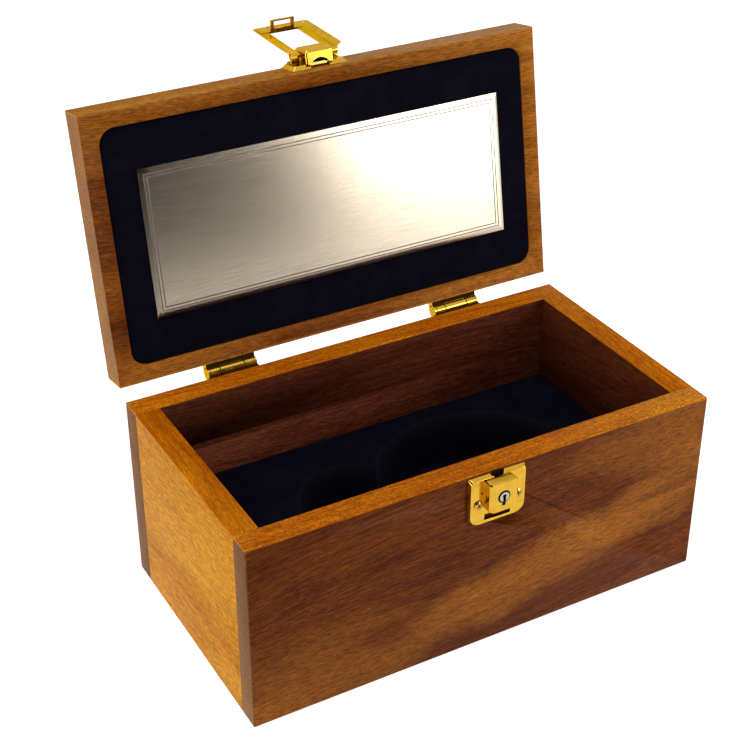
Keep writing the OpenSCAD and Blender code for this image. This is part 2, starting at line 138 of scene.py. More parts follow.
def outwardMesh(name, points, faces):
    # a new mesh whose faces are all turned outward
    mesh = bpy.data.meshes.new(name)
    mesh.from_pydata(points.tolist(), [], faces)
    bm = bmesh.new()
    bm.from_mesh(mesh)
    bmesh.ops.recalc_face_normals(bm, faces=bm.faces)
    bm.to_mesh(mesh)
    bm.free()
    return mesh


def gridFaces(rows, cols, wrapCols=False):
    # quads between neighbouring points of a rows by cols grid
    r = np.arange(rows - 1)
    c = np.arange(cols if wrapCols else cols - 1)
    rr, cc = np.meshgrid(r, c, indexing="ij")
    c2 = (cc + 1) % cols
    here, beyond = rr * cols, (rr + 1) * cols
    return np.stack([here + cc, here + c2, beyond + c2, beyond + cc], -1).reshape(-1, 4).tolist()


def closedShell(rings, centre, top, low):
    # rings of points joined in turn, with a fan of triangles over the first ring and the last
    rows, n = len(rings), len(rings[0])
    points = np.vstack([*rings, [*centre[:2], top], [*centre[:2], low]])
    k = np.arange(n)
    after = (k + 1) % n
    last = (rows - 1) * n
    faces = gridFaces(rows, n, wrapCols=True)
    faces += np.stack([after, k, np.full(n, rows * n)], -1).tolist()
    faces += np.stack([k + last, after + last, np.full(n, rows * n + 1)], -1).tolist()
    return points, faces


def smoothShading(piece, angle):
    piece.data.shade_smooth()
    piece.data.set_sharp_from_angle(angle=radians(angle))


def mergedMesh(node, matrix=None):
    # one closed mesh from a node's loose triangles, with its flat areas joined
    bm = bmesh.new()
    bm.from_mesh(frame["nodes"][node].data)
    bmesh.ops.remove_doubles(bm, verts=bm.verts, dist=meshSettings["weld"])
    bmesh.ops.dissolve_limit(bm, angle_limit=radians(meshSettings["flat"]), verts=bm.verts, edges=bm.edges)
    if matrix is not None:
        bm.transform(matrix)
    return bm


def pieceFromBmesh(bm, name):
    mesh = bpy.data.meshes.new(name)
    bm.to_mesh(mesh)
    bm.free()
    mesh.update()
    return linked(name, mesh)


def finishPiece(piece, body, slot, material, *nodes):
    piece.data.materials.clear()
    piece.data.materials.append(material)
    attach(piece, body)
    if nodes:
        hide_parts(*nodes)
    return piece


# Node helpers

class Tree:
    def __init__(self, tree):
        self.tree = tree

    def new(self, kind):
        return self.tree.nodes.new(kind)

    def join(self, out, into):
        self.tree.links.new(out, into)

    def feed(self, socket, value):
        # a number or a colour is set on the socket, another socket is joined to it
        if isinstance(value, (int, float)):
            socket.default_value = value
        elif isinstance(value, tuple):
            socket.default_value = (*value[:3], 1.0)
        else:
            self.join(value, socket)

    def math(self, operation, a, b=None, clamp=False):
        node = self.new("ShaderNodeMath")
        node.operation = operation
        node.use_clamp = clamp
        self.feed(node.inputs[0], a)
        if b is not None:
            self.feed(node.inputs[1], b)
        return node.outputs[0]

    def plus(self, a, b):
        return self.math("ADD", a, b)

    def minus(self, a, b):
        return self.math("SUBTRACT", a, b)

    def times(self, a, b):
        return self.math("MULTIPLY", a, b)

    def larger(self, a, b):
        return self.math("MAXIMUM", a, b)

    def squares(self, a, b):
        # a squared plus b squared
        return self.plus(self.times(a, a), self.times(b, b))

    def radius(self, a, b):
        return self.math("SQRT", self.squares(a, b))

    def apart(self, value, *places):
        # the least distance of a value from any of the places
        least = None
        for place in places:
            away = self.math("ABSOLUTE", self.minus(value, place))
            least = away if least is None else self.math("MINIMUM", least, away)
        return least

    def remap(self, value, low, high, toLow=0.0, toHigh=1.0):
        node = self.new("ShaderNodeMapRange")
        node.interpolation_type = "SMOOTHSTEP"
        node.inputs["From Min"].default_value = low
        node.inputs["From Max"].default_value = high
        node.inputs["To Min"].default_value = toLow
        node.inputs["To Max"].default_value = toHigh
        self.join(value, node.inputs["Value"])
        return node.outputs["Result"]

    def fading(self, value, full, gone, amount=1.0):
        # the whole amount up to one value, nothing beyond the other
        return self.remap(value, full, gone, amount, 0.0)

    def mix(self, factor, a, b, blend="MIX"):
        node = self.new("ShaderNodeMix")
        node.data_type = "RGBA"
        node.blend_type = blend
        for i, value in ((0, factor), (6, a), (7, b)):
            self.feed(node.inputs[i], value)
        return node.outputs[2]

    def noise(self, vector, scale, detail=3.0, roughness=0.55, distortion=0.0, output="Fac"):
        node = self.new("ShaderNodeTexNoise")
        node.inputs["Scale"].default_value = scale
        node.inputs["Detail"].default_value = detail
        node.inputs["Roughness"].default_value = roughness
        node.inputs["Distortion"].default_value = distortion
        self.join(vector, node.inputs["Vector"])
        return node.outputs[output]

    def stretched(self, vector, scale=(1, 1, 1), rotation=(0, 0, 0), location=(0, 0, 0)):
        node = self.new("ShaderNodeMapping")
        node.inputs["Scale"].default_value = scale
        node.inputs["Rotation"].default_value = rotation
        node.inputs["Location"].default_value = location
        self.join(vector, node.inputs["Vector"])
        return node.outputs["Vector"]

    def drawnNoise(self, vector, stretch, *values):
        # noise drawn out along X: the smaller the stretch, the longer its streaks
        return self.noise(self.stretched(vector, (stretch, 1.0, 1.0)), *values)

    def split(self, vector):
        node = self.new("ShaderNodeSeparateXYZ")
        self.join(vector, node.inputs[0])
        return node.outputs

    def place(self):
        return self.new("ShaderNodeTexCoord").outputs["Object"]

    def bump(self, shader, height, strength, distance):
        node = self.new("ShaderNodeBump")
        node.inputs["Strength"].default_value = strength
        node.inputs["Distance"].default_value = distance
        self.join(height, node.inputs["Height"])
        self.join(node.outputs["Normal"], shader.inputs["Normal"])

    def use(self, group, values, **links):
        node = self.new("ShaderNodeGroup")
        node.node_tree = group
        for key, value in values.items():
            node.inputs[key].default_value = value
        for key, value in links.items():
            self.join(value, node.inputs[key])
        return node.outputs


surfaceOutputs = [("Color", "NodeSocketColor"), ("Roughness", "NodeSocketFloat"), ("Height", "NodeSocketFloat")]


def newGroup(name, inputs):
    # every group takes a vector and its own inputs, and gives a colour, a roughness and a height
    group = bpy.data.node_groups.new(name, "ShaderNodeTree")
    group.interface.new_socket("Vector", in_out="INPUT", socket_type="NodeSocketVector")
    for label, value in inputs.items():
        kind = "NodeSocketColor" if value is None else "NodeSocketFloat"
        socket = group.interface.new_socket(label, in_out="INPUT", socket_type=kind)
        if value is not None:
            socket.default_value = value
    for label, kind in surfaceOutputs:
        group.interface.new_socket(label, in_out="OUTPUT", socket_type=kind)
    source, sink = group.nodes.new("NodeGroupInput"), group.nodes.new("NodeGroupOutput")
    return group, Tree(group), source.outputs, sink.inputs


def newMaterial(name):
    material = bpy.data.materials.new(name)
    material.use_nodes = True
    return material, Tree(material.node_tree), material.node_tree.nodes["Principled BSDF"]


# Wood: the grain runs along the group's own X

# a layer holds its stretch along the grain, then the noise's scale, detail, roughness and distortion
grainSettings = {
    "slow": (0.28, 18.0, 2.0, 0.5, 0.4),
    "bands": (0.10, 120.0, 4.0, 0.65, 0.4),
    "streaks": (0.050, 800.0, 4.0, 0.66, 0.2),
    "fine": (0.100, 2200.0, 3.0, 0.6, 0.1),
    "fleck": (0.13, 2600.0, 2.0, 0.6, 0.0),
    "grit": (0.45, 1500.0, 3.0, 0.7, 0.3),
    "bend": (0.45, 9.0, 1.0, 0.5, 0.0), "sweep": 0.030,
    "figure": (0.45, 0.66), "tone": (0.36, 0.64), "bandShare": 0.4,
    "heartAndLight": (0.30, 0.62, 0.45, 1.0),
    "threads": (0.34, 0.66, 0.62, 1.36), "grains": (0.34, 0.66, 0.62, 1.38),
    "pore": (0.56, 0.68), "poreDepth": 0.80, "poreColor": (0.012, 0.004, 0.002),
    "roughness": (0.44, 0.70), "threadHeight": 0.35, "bump": 0.30, "bumpDepth": 0.00010,
}


def makeGrainGroup(s):
    # tone = slow bands bent by noise; streaks = noise drawn out along the grain;
    # pores = the brightest crests of a very fine, shorter drawn-out noise, painted dark
    group, t, source, sink = newGroup("woodGrain", {
        "Dark": None, "Middle": None, "Light": None,
        "Figure": 0.5, "Pores": 0.6, "Speckle": 0.0, "HeartAndLight": 0.0})
    # the whole figure is swept by a slow bend, so bands and pores curve together
    swept = t.new("ShaderNodeVectorMath")
    swept.operation = "MULTIPLY_ADD"
    t.join(t.drawnNoise(source["Vector"], *s["bend"], "Color"), swept.inputs[0])
    swept.inputs[1].default_value = (0.0, s["sweep"], s["sweep"])
    t.join(source["Vector"], swept.inputs[2])
    slow, bands, streaks, fine, fleck, grit = (
        t.drawnNoise(swept.outputs[0], *s[layer])
        for layer in ("slow", "bands", "streaks", "fine", "fleck", "grit"))
    figure = t.times(t.remap(slow, *s["figure"]), source["Figure"])
    blend = t.plus(t.times(bands, s["bandShare"]), t.times(streaks, 1.0 - s["bandShare"]))
    body = t.mix(t.remap(blend, *s["tone"]), source["Dark"], source["Middle"])
    # the pale input gives a heartwood band on the front board and painted light on the lid's face
    heartAndLight = t.times(source["HeartAndLight"], t.remap(bands, *s["heartAndLight"]))
    lit = t.mix(t.larger(figure, heartAndLight), body, source["Light"])
    # threads run along the grain; on a speckled face grains take their place
    amount = source["Speckle"]
    rub = t.plus(t.times(t.remap(fine, *s["threads"]), t.minus(1.0, amount)),
                 t.times(t.remap(grit, *s["grains"]), amount))
    shade = t.new("ShaderNodeCombineXYZ")
    for socket in shade.inputs:
        t.join(rub, socket)
    threaded = t.mix(1.0, lit, shade.outputs[0], "MULTIPLY")
    pore = t.times(t.remap(fleck, *s["pore"]), source["Pores"])
    t.join(t.mix(pore, threaded, t.mix(s["poreDepth"], threaded, s["poreColor"])), sink["Color"])
    t.join(t.remap(pore, 0.0, 1.0, *s["roughness"]), sink["Roughness"])
    t.join(t.minus(t.times(fine, s["threadHeight"]), pore), sink["Height"])
    return group


grainGroup = makeGrainGroup(grainSettings)

# the dark, middle and light tone of each palette
woodPalettes = {
    "red": ((0.088, 0.0170, 0.0030), (0.205, 0.0500, 0.0075), (0.400, 0.1350, 0.0170)),
    "rim": ((0.400, 0.0850, 0.0010), (0.680, 0.1950, 0.0030), (0.800, 0.3000, 0.0120)),
    "golden": ((0.380, 0.1300, 0.0080), (0.550, 0.2250, 0.0140), (0.640, 0.3000, 0.0300)),
    "edge": ((0.300, 0.0980, 0.0080), (0.440, 0.1650, 0.0140), (0.540, 0.2300, 0.0240)),
    "lidEnd": ((0.190, 0.0660, 0.0090), (0.275, 0.1080, 0.0150), (0.350, 0.1550, 0.0250)),
    "endGrain": ((0.120, 0.0430, 0.0090), (0.185, 0.0720, 0.0150), (0.230, 0.1000, 0.0200)),
    # the shade and inside palettes, for the boards' inner faces, are partly the wood's own tone and partly painted
    # shade
    "shade": ((0.060, 0.0110, 0.0040), (0.110, 0.0260, 0.0090), (0.140, 0.0370, 0.0120)),
    "inside": ((0.105, 0.0200, 0.0080), (0.205, 0.0500, 0.0220), (0.260, 0.0720, 0.0280)),
    "lidFace": ((0.105, 0.0190, 0.0020), (0.235, 0.0590, 0.0050), (0.540, 0.1850, 0.0200)),
    "panel": ((0.300, 0.150, 0.0700), (0.420, 0.230, 0.1100), (0.500, 0.290, 0.1500)),
    "raw": ((0.480, 0.300, 0.1500), (0.600, 0.400, 0.2100), (0.660, 0.460, 0.2600)),
}

# zones: the palettes of the outer faces, the ends, the rim and the inner faces; on the box's boards the inner
# palettes are partly the wood's own darker tone and partly painted shade
woodSettings = {
    "front": {"zones": ("red", "endGrain", "rim", "inside"), "figure": 0.80, "pores": 0.7, "speckle": 1.0,
              "turn": (0, 0.10, 0.0), "shift": (0.31, 0.12, 0.07), "shine": 0.05},
    "back": {"zones": ("red", "endGrain", "rim", "inside"), "figure": 0.35, "pores": 0.8, "speckle": 1.0,
             "turn": (0, -0.05, 0.02), "shift": (0.9, 0.4, 0.2), "shine": 0.05},
    "end": {"zones": ("golden", "golden", "rim", "shade"), "figure": 0.55, "pores": 0.28, "speckle": 0.35,
            "turn": (0.08, 0, pi / 2), "shift": (0.15, 0.55, 0.33), "shine": 0.015},
    "lid": {"zones": ("red", "lidEnd", "edge", "lidFace"), "figure": 0.5, "pores": 0.6, "speckle": 0.0,
            "turn": (0, 0.03, -0.02), "shift": (0.6, 0.8, 0.15), "shine": 0.05},
    "base": {"zones": ("panel",) * 4, "figure": 0.4, "pores": 0.4, "speckle": 0.0,
             "turn": (0, 0, 0), "shift": (0.2, 0.1, 0.6), "shine": 0.1},
    "dowel": {"zones": ("raw",) * 4, "figure": 0.3, "pores": 0.3, "speckle": 0.0,
              "turn": (0, 0, pi / 2), "shift": (0.0, 0.3, 0.0), "shine": 0.1},
}

# how far a zone's edge lies inside the case: first where it starts, then where it is whole
zoneSettings = {"lid": (0.0014, 0.0004), "end": (0.0008, 0.0003), "rim": (0.0009, 0.0003), "inner": (0.0109, 0.0115)}


def zonesOf(t, name, place):
    # masks of a board's ends, rim and inner faces, from where a point stands in the closed case
    s = zoneSettings
    x, y, z = t.split(place)
    farX, farY = t.math("ABSOLUTE", x), t.math("ABSOLUTE", y)

    def beyond(value, edge, depths):
        return t.remap(value, edge - depths[0], edge - depths[1])

    def within(value, edge, depths):
        return t.fading(value, edge - depths[1], edge - depths[0])

    if name == "lid":
        inner = t.fading(z, lidFaceHeight + s["lid"][1], lidFaceHeight + s["lid"][0])
        return beyond(farX, caseHalf[0], s["lid"]), beyond(farY, caseHalf[1], s["lid"]), inner
    inner = t.times(within(farX, caseHalf[0], s["inner"]), within(farY, caseHalf[1], s["inner"]))
    return beyond(farX, caseHalf[0], s["end"]), beyond(z, boxHeight, s["rim"]), inner


heartSettings = {
    "height": 0.026, "climb": 0.235, "halfWidth": 0.017, "core": 0.35, "fade": 1.25,
    "start": -0.070, "full": -0.005, "amount": 0.85, "bendScale": 26.0, "bend": 0.030,
}


def heartBand(t, place, s):
    # a pale band that climbs to the right: 1 where the height is close to a sloping line, bent by slow noise
    x, _, z = t.split(place)
    line = t.plus(t.times(x, s["climb"]), s["height"])
    bend = t.times(t.minus(t.noise(place, s["bendScale"], 2.0), 0.5), s["bend"])
    away = t.math("ABSOLUTE", t.plus(t.minus(z, line), bend))
    band = t.fading(away, s["halfWidth"] * s["core"], s["halfWidth"] * s["fade"], s["amount"])
    return t.times(band, t.remap(x, s["start"], s["full"]))


paintedRightLightSettings = {"start": -0.060, "full": 0.110, "amount": 0.80}


def paintedRightLight(t, place, s):
    # painted light: the lid's face grows paler towards its right end, where the light from the right falls stronger
    return t.remap(t.split(place)[0], s["start"], s["full"], 0.0, s["amount"])


notchSettings = {
    "halfWidth": 0.0036, "halfHeight": 0.0020, "edge": (0.85, 1.15), "depth": (0.004, 0.006),
    "color": (0.012, 0.005, 0.004),
}


def notchShade(t, place, s):
    # painted shade: the wood is painted dark inside the notch of the lock plate, over an oval on the front face
    low, high = boxOf("lock_plate")
    x, y, z = t.split(place)
    across = t.math("DIVIDE", t.apart(x, (low[0] + high[0]) / 2), s["halfWidth"])
    up = t.math("DIVIDE", t.apart(z, high[2] - s["halfHeight"] / 2), s["halfHeight"])
    onFront = t.fading(y, low[1] + s["depth"][0], low[1] + s["depth"][1])
    return t.times(t.fading(t.squares(across, up), *s["edge"]), onFront)


def makeWood(name, s):
    material, t, shader = newMaterial(name + "Wood")
    place = t.place()
    if name == "lid":
        turn, shift = lidClosing.to_euler(), lidClosing.to_translation()
        place = t.stretched(place, (1, 1, 1), tuple(turn), tuple(shift))
    ends, rim, inner = zonesOf(t, name, place)
    links = {"Vector": t.stretched(place, (1, 1, 1), s["turn"], s["shift"]), "Speckle": t.times(rim, s["speckle"])}
    outerPalette, endPalette, rimPalette, innerPalette = (woodPalettes[zone] for zone in s["zones"])
    for i, tone in enumerate(("Dark", "Middle", "Light")):
        color = outerPalette[i]
        for mask, palette in ((ends, endPalette), (inner, innerPalette), (rim, rimPalette)):
            color = t.mix(mask, color, palette[i])
        links[tone] = color
    if name == "front":
        links["HeartAndLight"] = heartBand(t, place, heartSettings)
    if name == "lid":
        # on the lid the pale input carries painted light, paler towards the right end of its inner face
        links["HeartAndLight"] = t.times(inner, paintedRightLight(t, place, paintedRightLightSettings))
    grain = t.use(grainGroup, {"Figure": s["figure"], "Pores": s["pores"]}, **links)
    color = grain["Color"]
    if name == "front":
        color = t.mix(notchShade(t, place, notchSettings), color, notchSettings["color"])
    t.join(color, shader.inputs["Base Color"])
    t.join(grain["Roughness"], shader.inputs["Roughness"])
    shader.inputs["Specular IOR Level"].default_value = s["shine"]
    t.bump(shader, grain["Height"], grainSettings["bump"], grainSettings["bumpDepth"])
    return material


caseLow, caseHigh = boxOf("front_board")
caseHalf = (caseHigh[0], -caseLow[1])
boxHeight = caseHigh[2]
lidFaceHeight = closedBox("lid_board")[0][2]
woods = {name: makeWood(name, s) for name, s in woodSettings.items()}
print("wood mixed")


# Metal: polished brass with faint rubbing, bright plating, plain steel

rubSettings = {
    "smudge": (180.0, 4.0, 0.6, 0.4), "smudgeEdge": (0.38, 0.70), "scratch": (0.08, 4200.0, 2.0, 0.5),
    "smudgeHeight": 0.5, "scratchHeight": 0.2, "bump": 0.06, "bumpDepth": 0.00003,
}


def makeRubGroup(s):
    # smudge = slow cloud that dulls the polish; scratch = fine noise drawn out one way
    group, t, source, sink = newGroup(
        "metalRub", {"Color": None, "Tarnish": None, "Amount": 0.3, "Smooth": 0.12, "Dull": 0.3})
    smudge = t.remap(t.noise(source["Vector"], *s["smudge"]), *s["smudgeEdge"])
    scratch = t.drawnNoise(source["Vector"], *s["scratch"])
    tarnish = t.times(smudge, source["Amount"])
    t.join(t.mix(tarnish, source["Color"], source["Tarnish"]), sink["Color"])
    spread = t.minus(source["Dull"], source["Smooth"])
    t.join(t.plus(source["Smooth"], t.times(spread, t.times(smudge, scratch))), sink["Roughness"])
    t.join(t.plus(t.times(smudge, s["smudgeHeight"]), t.times(scratch, s["scratchHeight"])), sink["Height"])
    return group


rubGroup = makeRubGroup(rubSettings)

metalTones = {
    "brass": {"color": (0.600, 0.355, 0.040), "tarnish": (0.400, 0.220, 0.022), "edge": (0.95, 0.78, 0.34),
              "amount": 0.40, "smooth": 0.15, "dull": 0.34},
    "screwBrass": {"color": (0.520, 0.310, 0.070), "tarnish": (0.200, 0.100, 0.025), "edge": (0.75, 0.52, 0.14),
                   "amount": 0.8, "smooth": 0.18, "dull": 0.45},
    "plating": {"color": (0.480, 0.460, 0.400), "tarnish": (0.240, 0.220, 0.180), "edge": (0.90, 0.88, 0.82),
                "amount": 0.5, "smooth": 0.14, "dull": 0.35},
    "steel": {"color": (0.400, 0.380, 0.350), "tarnish": (0.220, 0.200, 0.180), "edge": (0.90, 0.88, 0.86),
              "amount": 0.5, "smooth": 0.25, "dull": 0.5},
}

# the dark colour painted as shade into the metal's seams and hollows, and the roughness added there
paintedShadeSettings = {"color": (0.022, 0.010, 0.004), "roughness": 0.55}


def makeMetal(name, s, shadePainter=None):
    # the optional function gives a mask of seams and hollows where shade falls: there the metal's colour is painted
    # dark as shade, and made duller
    material, t, shader = newMaterial(name)
    place = t.place()
    rub = t.use(rubGroup, {"Color": (*s["color"], 1), "Tarnish": (*s["tarnish"], 1), "Amount": s["amount"],
                           "Smooth": s["smooth"], "Dull": s["dull"]}, Vector=place)
    color, rough = rub["Color"], rub["Roughness"]
    if shadePainter:
        mask = shadePainter(t, place)
        color = t.mix(mask, color, paintedShadeSettings["color"])
        rough = t.math("ADD", rough, t.times(mask, paintedShadeSettings["roughness"]), clamp=True)
    t.join(color, shader.inputs["Base Color"])
    t.join(rough, shader.inputs["Roughness"])
    shader.inputs["Metallic"].default_value = 1.0
    shader.inputs["Specular Tint"].default_value = (*s["edge"], 1)
    t.bump(shader, rub["Height"], rubSettings["bump"], rubSettings["bumpDepth"])
    return material


# seam and ring: half width and where it fades out; ringIn: the ring's distance from the hinge's end
hingeSettings = {
    "seam": (0.00022, 0.00033), "ring": (0.00014, 0.000224), "ringIn": 0.0013, "ringShade": 0.8, "knuckle": 0.25,
    "barrelRadius": 0.00245, "barrelFade": 0.0001, "web": (0.0010, 0.00115), "webShade": 0.97, "webLow": 1.15,
}


def hingePaintedShade(t, place):
    # painted shade: dark seams between the knuckles, a ring near each end, and the webs in front of the barrel,
    # painted dark where shade falls
    s = hingeSettings
    low, high = boxOf("right_box_leaf")
    middle, half = (low[0] + high[0]) / 2, (high[0] - low[0]) / 2
    x, y, z = t.split(place)
    along = t.apart(t.math("ABSOLUTE", x), middle)
    seam = t.fading(t.apart(along, half - (high[0] - low[0]) * s["knuckle"]), *s["seam"])
    ring = t.fading(t.apart(along, half - s["ringIn"]), *s["ring"], s["ringShade"])
    dy, dz = t.minus(y, hingePlace[1]), t.minus(z, hingePlace[2])
    outside = t.remap(t.radius(dy, dz), s["barrelRadius"], s["barrelRadius"] + s["barrelFade"])
    web = t.times(t.fading(dy, *s["web"], s["webShade"]),
                  t.remap(dz, -s["barrelRadius"] * s["webLow"], -s["barrelRadius"]))
    return t.larger(t.larger(seam, ring), t.times(outside, web))


keywaySettings = {
    "halfWidth": (0.00085, 0.00100), "centre": -0.0034, "halfHeight": (0.0012, 0.00135),
    "ringRadius": 0.00285, "ringWidth": (0.00030, 0.00045), "ringShade": 0.9,
}


def fromPlug(t, place):
    # how far a point lies beside the plug's axis, and how far above it
    x, _, z = t.split(place)
    return t.apart(x, plugPlace[0]), t.minus(z, plugPlace[2])


def housingPaintedShade(t, place):
    # painted shade: the dark ring round the plug, and the keyway that runs on below it, painted dark on the face in
    # place of a hollow
    s = keywaySettings
    across, up = fromPlug(t, place)
    slot = t.times(t.fading(across, *s["halfWidth"]), t.fading(t.apart(up, s["centre"]), *s["halfHeight"]))
    ring = t.fading(t.apart(t.radius(across, up), s["ringRadius"]), *s["ringWidth"], s["ringShade"])
    return t.larger(slot, ring)


plugSettings = {"edge": (0.00235, 0.00250), "slotHalfWidth": (0.00070, 0.00085), "slotTop": (0.0010, 0.0012)}


def plugPaintedShade(t, place):
    # painted shade on the plug's own edge and the walls of its keyhole
    s = plugSettings
    across, up = fromPlug(t, place)
    slot = t.times(t.fading(across, *s["slotHalfWidth"]), t.fading(up, *s["slotTop"]))
    return t.larger(t.remap(t.radius(across, up), *s["edge"]), slot)


screwSettings = {"head": 0.0022, "crown": (0.00010, 0.00022), "recess": (0.00145, 0.00155)}


def screwPaintedShade(t, place):
    # painted shade in the cross recess of the lock's screws, which lies below the crown of their heads
    s = screwSettings
    low, high = boxOf("lock_screws")
    x, y, z = t.split(place)
    across = t.apart(x, low[0] + s["head"], high[0] - s["head"])
    up = t.apart(z, (low[2] + high[2]) / 2)
    below = t.remap(y, low[1] + s["crown"][0], low[1] + s["crown"][1])
    return t.times(below, t.fading(t.radius(across, up), *s["recess"]))


plugPlace = jointNamed("plug_turn")["pos_m"]
metals = {name: makeMetal(name, s) for name, s in metalTones.items()}
metals["hingeBrass"] = makeMetal("hingeBrass", metalTones["brass"], hingePaintedShade)
metals["housingBrass"] = makeMetal("housingBrass", metalTones["brass"], housingPaintedShade)
metals["keyPlating"] = makeMetal("keyPlating", metalTones["plating"], plugPaintedShade)
metals["lockScrews"] = makeMetal("lockScrews", metalTones["screwBrass"], screwPaintedShade)
print("metal mixed")


# Velvet: near-black navy with a short pile

velvetSettings = {
    "color": (0.0022, 0.0018, 0.0052), "crushed": (0.0060, 0.0050, 0.0100), "dust": (0.020, 0.017, 0.026),
    "brush": (55.0, 3.0, 0.6, 0.8), "brushEdge": (0.42, 0.70), "brushShare": 0.6,
    "pile": (5200.0, 2.0, 0.6), "pileShare": 0.5, "dustEdge": (0.40, 0.65, 0.2, 1.0),
    "roughness": 0.95, "specular": 0.03, "bump": 0.5, "bumpDepth": 0.0002,
    "sheen": 0.05, "sheenRoughness": 0.45, "sheenTint": (0.30, 0.36, 0.75),
}


def makeVelvet(s):
    # brush = slow patches where the pile leans the other way; pile = very fine noise
    material, t, shader = newMaterial("velvet")
    place = t.place()
    brush = t.remap(t.noise(place, *s["brush"]), *s["brushEdge"])
    pile = t.noise(place, *s["pile"])
    tone = t.plus(t.times(brush, s["brushShare"]), t.times(pile, s["pileShare"]))
    worn = t.new("ShaderNodeAttribute")
    worn.attribute_name = "lip"
    dust = t.times(worn.outputs["Fac"], t.remap(pile, *s["dustEdge"]))
    t.join(t.mix(dust, t.mix(tone, s["color"], s["crushed"]), s["dust"]), shader.inputs["Base Color"])
    shader.inputs["Roughness"].default_value = s["roughness"]
    shader.inputs["Specular IOR Level"].default_value = s["specular"]
    shader.inputs["Sheen Weight"].default_value = s["sheen"]
    shader.inputs["Sheen Roughness"].default_value = s["sheenRoughness"]
    shader.inputs["Sheen Tint"].default_value = (*s["sheenTint"], 1)
    t.bump(shader, pile, s["bump"], s["bumpDepth"])
    return material


velvet = makeVelvet(velvetSettings)
print("velvet mixed")


# Boards: merged copies of the nodes with their outer edges eased

boardSettings = {
    "front_board": {"wood": "front", "slot": "front_wood", "body": "box", "round": 0.0004},
    "back_board": {"wood": "back", "slot": "front_wood", "body": "box", "round": 0.0004},
    "left_board": {"wood": "end", "slot": "end_wood", "body": "box", "round": 0.0003},
    "right_board": {"wood": "end", "slot": "end_wood", "body": "box", "round": 0.0003},
    "base_board": {"wood": "base", "slot": "base_wood", "body": "box", "round": 0.0003},
    "lid_board": {"wood": "lid", "slot": "lid_wood", "body": "lid", "round": 0.00035},
}
easingSettings = {"onFace": 2e-5, "segments": 4, "smooth": 40}


def easedBoard(node, s):
    # an edge is eased where both its ends lie on two faces of the board's own box
    onLid = s["body"] == "lid"
    bm = mergedMesh(node, lidClosing if onLid else None)
    points = np.array([v.co[:] for v in bm.verts])
    low, high = points.min(0), points.max(0)
    bm.verts.index_update()
    reach = easingSettings["onFace"]
    onFace = np.concatenate([np.abs(points - low) < reach, np.abs(points - high) < reach], 1)
    edges = [e for e in bm.edges if (onFace[e.verts[0].index] & onFace[e.verts[1].index]).sum() >= 2]
    bmesh.ops.bevel(bm, geom=edges, offset=s["round"], offset_type="OFFSET", segments=easingSettings["segments"],
                    profile=0.5, affect="EDGES", clamp_overlap=False)
    piece = pieceFromBmesh(bm, node + "_eased")
    # the bevel can push a corner out of the board's box, so the points are held inside it
    held = np.clip(pointsOf(piece.data), low, high)
    setPoints(piece.data, moved(held, lidOpening) if onLid else held)
    smoothShading(piece, easingSettings["smooth"])
    return finishPiece(piece, s["body"], s["slot"], woods[s["wood"]], node)


for node, s in boardSettings.items():
    easedBoard(node, s)
frame["nodes"]["corner_dowels"].data.materials.clear()
frame["nodes"]["corner_dowels"].data.materials.append(woods["dowel"])
print("boards eased")


# Metalwork: merged copies of the nodes with a small round on every sharp edge

# a part's metal, slot, body and the width of its rounds
metalSettings = {
    "left_box_leaf": ("hingeBrass", "brass", "box", 0.00018),
    "right_box_leaf": ("hingeBrass", "brass", "box", 0.00018),
    "left_lid_leaf": ("hingeBrass", "brass", "lid", 0.00018),
    "right_lid_leaf": ("hingeBrass", "brass", "lid", 0.00018),
    "hinge_pins": ("brass", "brass", "box", 0.00020),
    "box_leaf_screws": ("screwBrass", "brass_screw", "box", 0.00006),
    "lid_leaf_screws": ("screwBrass", "brass_screw", "lid", 0.00006),
    "lock_plate": ("brass", "brass", "box", 0.00010),
    "lock_housing": ("housingBrass", "brass", "box", 0.00035),
    "lock_plug": ("keyPlating", "plug_metal", "key_plug", 0.00012),
    "plug_retainer": ("steel", "steel", "box", 0.00010),
    "lock_bolt": ("steel", "steel", "bolt", 0.00010),
    "bolt_guide": ("steel", "steel", "box", 0.00010),
    "lock_screws": ("lockScrews", "brass_screw", "box", 0.00008),
    "hasp_plate": ("brass", "brass", "lid", 0.00022),
    "hasp_block": ("brass", "brass", "lid", 0.00028),
    "hasp_spring": ("steel", "steel", "lid", 0.00008),
    "hasp_frame": ("brass", "brass", "hasp", 0.00020),
    "hasp_pin": ("brass", "brass", "hasp", 0.00012),
    "hasp_screws": ("screwBrass", "brass_screw", "lid", 0.00008),
}
roundSettings = {"sharp": 24, "segments": 2}

# oldSlope: how far the raised face lies inside the plate as cut; top and side: how far it shall lie
plateSettings = {
    "oldSlope": 0.0015, "top": 0.0010, "side": 0.0005, "cornerLow": 0.004, "cornerHigh": 0.0008,
    "raisedDepth": 0.0004, "onRim": 0.0002,
}


